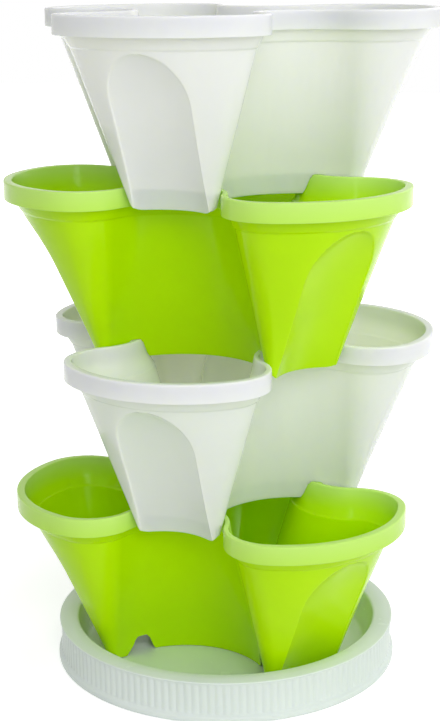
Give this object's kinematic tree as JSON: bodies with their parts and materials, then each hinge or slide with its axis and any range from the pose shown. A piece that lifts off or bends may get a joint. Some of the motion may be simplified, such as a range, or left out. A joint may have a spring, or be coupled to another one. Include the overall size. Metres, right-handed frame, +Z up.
{
  "type": "vertical planter tower",
  "caption": "Free-standing tower of stacked three-lobed pots in alternating green and white plastic, each turned half a lobe on the one below, on a round ribbed drip saucer.",
  "frame": {"origin": "centre of the saucer's underside, on the ground", "axes": "+Z up the tower; -Y and +Y through a lobe of the white and of the green pots; the picture looks from 21.9 degrees to the +X side of -Y"},
  "size_m": [0.357, 0.3796, 0.5849],
  "materials": {
    "green_pot": "lime green moulded polypropylene, satin gloss, slightly translucent",
    "white_pot": "white moulded polypropylene, satin gloss, slightly translucent",
    "saucer": "white moulded polypropylene, satin gloss, fine upright ribs on its wall"
  },
  "bodies": {
    "saucer": {"saucer": "saucer"},
    "tier_1": {"tier_1_green": "green_pot"},
    "tier_2": {"tier_2_white": "white_pot"},
    "tier_3": {"tier_3_green": "green_pot"},
    "tier_4": {"tier_4_white": "white_pot"}
  },
  "joints": [
    {"name": "lift_tier_1", "type": "slide", "parent": "saucer", "child": "tier_1", "axis": [0, 0, 1], "range_m": [0, 0.06]},
    {"name": "lift_tier_2", "type": "slide", "parent": "tier_1", "child": "tier_2", "axis": [0, 0, 1], "range_m": [0, 0.06]},
    {"name": "lift_tier_3", "type": "slide", "parent": "tier_2", "child": "tier_3", "axis": [0, 0, 1], "range_m": [0, 0.06]},
    {"name": "lift_tier_4", "type": "slide", "parent": "tier_3", "child": "tier_4", "axis": [0, 0, 1], "range_m": [0, 0.06]}
  ]
}
